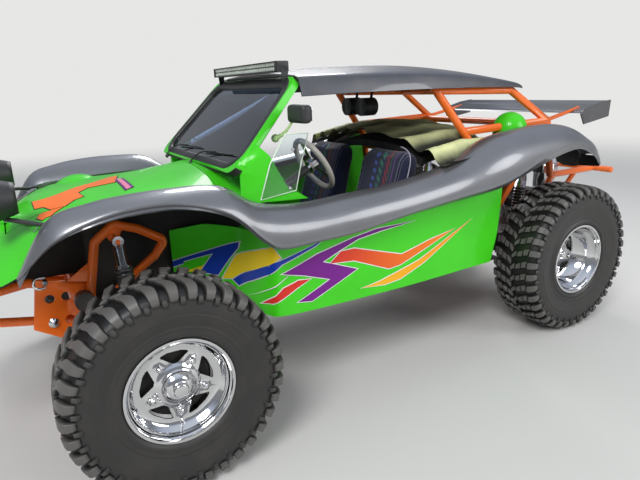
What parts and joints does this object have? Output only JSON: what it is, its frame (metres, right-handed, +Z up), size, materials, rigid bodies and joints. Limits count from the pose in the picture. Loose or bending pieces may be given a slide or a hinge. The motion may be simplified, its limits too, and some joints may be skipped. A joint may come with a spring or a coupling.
{
  "type": "dune buggy",
  "caption": "Open two-seat dune buggy: moulded shell body on a floor pan, roll cage and hard top, twin-tube front beam that steers, rear engine and four large lugged tyres.",
  "frame": {"origin": "on the ground at the centre of the car's footprint", "axes": "+Z up; the car faces -Y, so +Y runs to the rear and +X is its left side"},
  "size_m": [1.9766, 3.931, 1.5999],
  "materials": {
    "green_paint": "gloss",
    "silver_paint": "metallic gloss",
    "roof_paint": "satin",
    "orange_paint": "gloss",
    "black_steel": "satin",
    "damper": "satin",
    "polished_aluminium": "polished",
    "cast_alloy": "cast",
    "chrome": "polished",
    "tyre": "moulded",
    "glass": "tinted",
    "black_plastic": "textured",
    "seat_fabric": "woven",
    "canvas": "woven"
  },
  "bodies": {
    "root": {"air_cleaners": "chrome", "dash": "black_plastic", "deflectors": "glass", "engine": "cast_alloy", "exhaust": "black_steel", "fan_shroud": "black_steel", "fender_left": "silver_paint", "fender_right": "silver_paint", "floor_pan": "black_steel", "front_arms": "black_steel", "front_bumper": "orange_paint", "front_frame": "orange_paint", "front_shocks": "damper", "hard_top": "roof_paint", "lamps": "black_plastic", "light_bar": "black_plastic", "mirror": "black_plastic", "nose": "green_paint", "rear_arms": "black_steel", "rear_bumper": "orange_paint", "rear_cover": "canvas", "rear_deck": "green_paint", "rear_frame": "orange_paint", "rear_shocks": "damper", "rear_wing": "roof_paint", "roll_cage": "orange_paint", "seat_left": "seat_fabric", "seat_right": "seat_fabric", "side_panel_left": "green_paint", "side_panel_right": "green_paint", "speaker_pods": "black_plastic", "steering_column": "black_steel", "transaxle": "cast_alloy", "windscreen": "glass"},
    "bonnet": {"bonnet": "green_paint"},
    "knuckle_left": {"knuckle_left": "black_steel"},
    "knuckle_right": {"knuckle_right": "black_steel"},
    "tie_rod": {"tie_rod": "black_steel"},
    "pitman_arm": {"pitman_arm": "black_steel"},
    "steering_wheel": {"steering_wheel": "polished_aluminium"},
    "wheel_front_left": {"rim_front_left": "chrome", "tyre_front_left": "tyre"},
    "wheel_front_right": {"rim_front_right": "chrome", "tyre_front_right": "tyre"},
    "wheel_rear_left": {"rim_rear_left": "chrome", "tyre_rear_left": "tyre"},
    "wheel_rear_right": {"rim_rear_right": "chrome", "tyre_rear_right": "tyre"}
  },
  "joints": [
    {"name": "steer_left", "type": "hinge", "parent": "root", "child": "knuckle_left", "pos_m": [0.64, -1.115, 0.441], "axis": [0, 0, 1], "range_deg": [-25, 25]},
    {"name": "steer_right", "type": "hinge", "parent": "root", "child": "knuckle_right", "pos_m": [-0.64, -1.115, 0.441], "axis": [0, 0, 1], "range_deg": [-25, 25]},
    {"name": "tie_rod_pivot", "type": "hinge", "parent": "knuckle_left", "child": "tie_rod", "pos_m": [0.64, -1.235, 0.498], "axis": [0, 0, 1], "range_deg": [-25, 25]},
    {"name": "pitman_turn", "type": "hinge", "parent": "root", "child": "pitman_arm", "pos_m": [0.3, -1.115, 0.5], "axis": [0, 0, 1], "range_deg": [-25, 25]},
    {"name": "steering_wheel_turn", "type": "hinge", "parent": "root", "child": "steering_wheel", "pos_m": [0.3, -0.165, 1.095], "axis": [0, 0.8736, 0.4867], "range_deg": [-350, 350]},
    {"name": "bonnet_hinge", "type": "hinge", "parent": "root", "child": "bonnet", "pos_m": [0, -1.59, 0.98], "axis": [1, 0, 0], "range_deg": [0, 50]},
    {"name": "spin_front_left", "type": "hinge", "parent": "knuckle_left", "child": "wheel_front_left", "pos_m": [0.84, -1.115, 0.42], "axis": [1, 0, 0], "continuous": true},
    {"name": "spin_front_right", "type": "hinge", "parent": "knuckle_right", "child": "wheel_front_right", "pos_m": [-0.84, -1.115, 0.42], "axis": [1, 0, 0], "continuous": true},
    {"name": "spin_rear_left", "type": "hinge", "parent": "root", "child": "wheel_rear_left", "pos_m": [0.729, 1.305, 0.44], "axis": [1, 0, 0], "continuous": true},
    {"name": "spin_rear_right", "type": "hinge", "parent": "root", "child": "wheel_rear_right", "pos_m": [-0.729, 1.305, 0.44], "axis": [1, 0, 0], "continuous": true}
  ],
  "couplings": [
    {"joint": "steer_right", "follows": "steer_left", "ratio": 1},
    {"joint": "tie_rod_pivot", "follows": "steer_left", "ratio": -1},
    {"joint": "pitman_turn", "follows": "steer_left", "ratio": 1},
    {"joint": "steering_wheel_turn", "follows": "steer_left", "ratio": 14}
  ]
}
